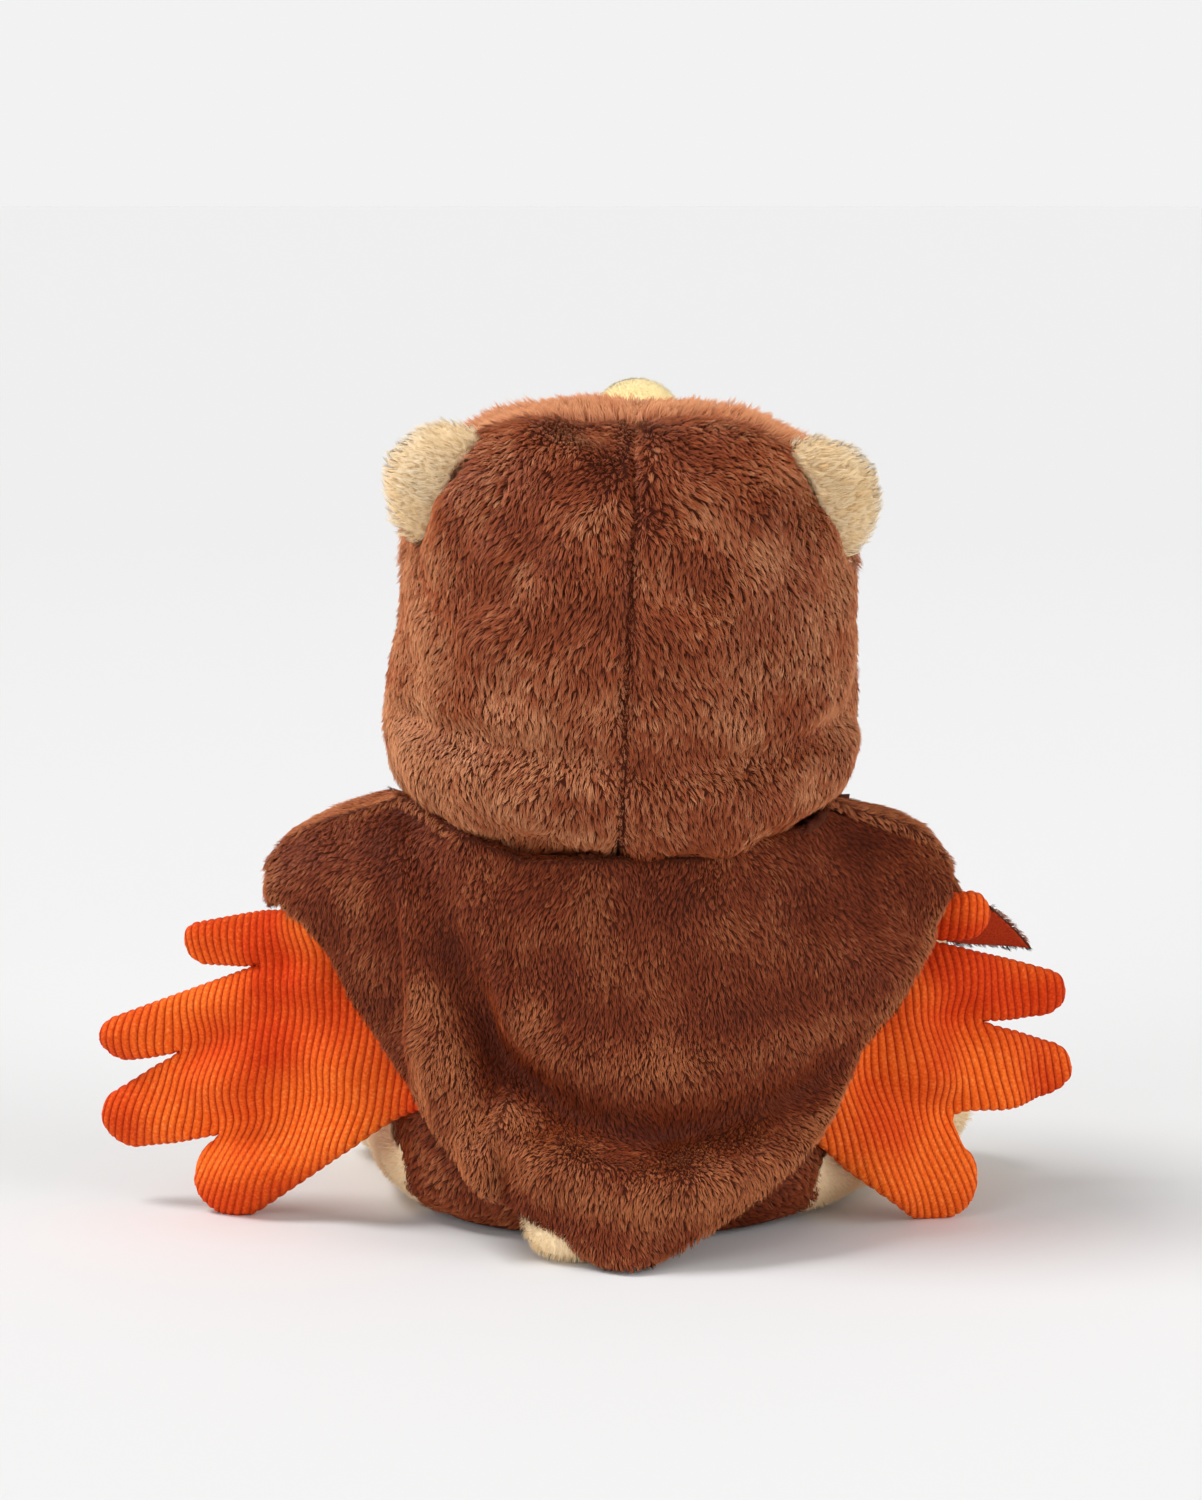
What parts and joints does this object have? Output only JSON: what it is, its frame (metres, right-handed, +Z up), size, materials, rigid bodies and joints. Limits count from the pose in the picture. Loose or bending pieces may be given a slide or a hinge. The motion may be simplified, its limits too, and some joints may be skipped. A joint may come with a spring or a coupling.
{
  "type": "plush teddy bear in a bird costume",
  "caption": "Seated plush teddy bear wearing a hooded cape, shorts and padded corduroy wings, with turning head and soft limbs, wings and cape that move.",
  "frame": {"origin": "on the floor under the middle of the bear's seat, on the flat underside of the shorts", "axes": "+Z up, -Y the way the bear faces, +X to the bear's left along the wing span"},
  "size_m": [0.2794, 0.1581, 0.2389],
  "materials": {
    "cream_plush": "short cream pile",
    "brown_plush": "long chestnut pile in soft locks",
    "corduroy": "eleven-wale corduroy",
    "lining": "smooth woven lining",
    "yellow_plush": "short yellow pile",
    "white_plush": "short white pile",
    "stuffing": "polyester fibre",
    "calico": "plain cotton",
    "eye_plastic": "glossy dark brown",
    "washer_plastic": "matt white",
    "tape": "hook-and-loop tape"
  },
  "bodies": {
    "torso": {"torso_cover": "cream_plush", "torso_stuffing": "stuffing", "pellet_bag": "calico", "shorts": "brown_plush", "tail": "cream_plush", "cape_left_front": "brown_plush", "cape_right_front": "brown_plush", "neck_tab": "tape"},
    "head": {"head_cover": "cream_plush", "head_stuffing": "stuffing", "muzzle": "cream_plush", "nose": "eye_plastic", "eye_left": "eye_plastic", "eye_right": "eye_plastic", "eye_washer_left": "washer_plastic", "eye_washer_right": "washer_plastic", "ear_left": "cream_plush", "ear_right": "cream_plush", "hood_left_panel": "brown_plush", "hood_right_panel": "brown_plush", "hood_front_panel": "brown_plush", "hood_lining": "lining", "beak": "yellow_plush", "brow_patch_left": "white_plush", "brow_patch_right": "white_plush"},
    "arm_left": {"arm_left": "cream_plush"},
    "arm_right": {"arm_right": "cream_plush"},
    "leg_left": {"leg_left": "cream_plush", "sole_left": "cream_plush"},
    "leg_right": {"leg_right": "cream_plush", "sole_right": "cream_plush"},
    "wing_left": {"wing_left": "corduroy"},
    "wing_right": {"wing_right": "corduroy"},
    "cape": {"cape_back": "brown_plush", "cape_lining": "lining"}
  },
  "joints": [
    {"name": "head_turn", "type": "hinge", "parent": "torso", "child": "head", "pos_m": [0, 0, 0.109], "axis": [-0.0384, 0, 0.9993], "range_deg": [-20, 20], "stiffness_Nm_per_rad": 0.12},
    {"name": "arm_left_lower", "type": "hinge", "parent": "torso", "child": "arm_left", "pos_m": [0.038, -0.004, 0.091], "axis": [0, 1, 0], "range_deg": [0, 12], "stiffness_Nm_per_rad": 0.3},
    {"name": "arm_right_lower", "type": "hinge", "parent": "torso", "child": "arm_right", "pos_m": [-0.038, -0.004, 0.091], "axis": [0, -1, 0], "range_deg": [0, 12], "stiffness_Nm_per_rad": 0.3},
    {"name": "leg_left_lift", "type": "hinge", "parent": "torso", "child": "leg_left", "pos_m": [0.04, 0.002, 0.0208], "axis": [-0.9272, -0.3746, 0], "range_deg": [0, 12]},
    {"name": "leg_right_lift", "type": "hinge", "parent": "torso", "child": "leg_right", "pos_m": [-0.04, 0.002, 0.0208], "axis": [-0.766, 0.6428, 0], "range_deg": [0, 12]},
    {"name": "wing_left_flap", "type": "hinge", "parent": "torso", "child": "wing_left", "pos_m": [0.03, 0.0348, 0], "axis": [0, 0, 1], "range_deg": [-8, 2], "stiffness_Nm_per_rad": 0.02},
    {"name": "wing_right_flap", "type": "hinge", "parent": "torso", "child": "wing_right", "pos_m": [-0.03, 0.0348, 0], "axis": [0, 0, -1], "range_deg": [-8, 2], "stiffness_Nm_per_rad": 0.02},
    {"name": "cape_lift", "type": "hinge", "parent": "torso", "child": "cape", "pos_m": [0, 0.0444, 0.112], "axis": [1, 0, 0], "range_deg": [0, 35]}
  ]
}
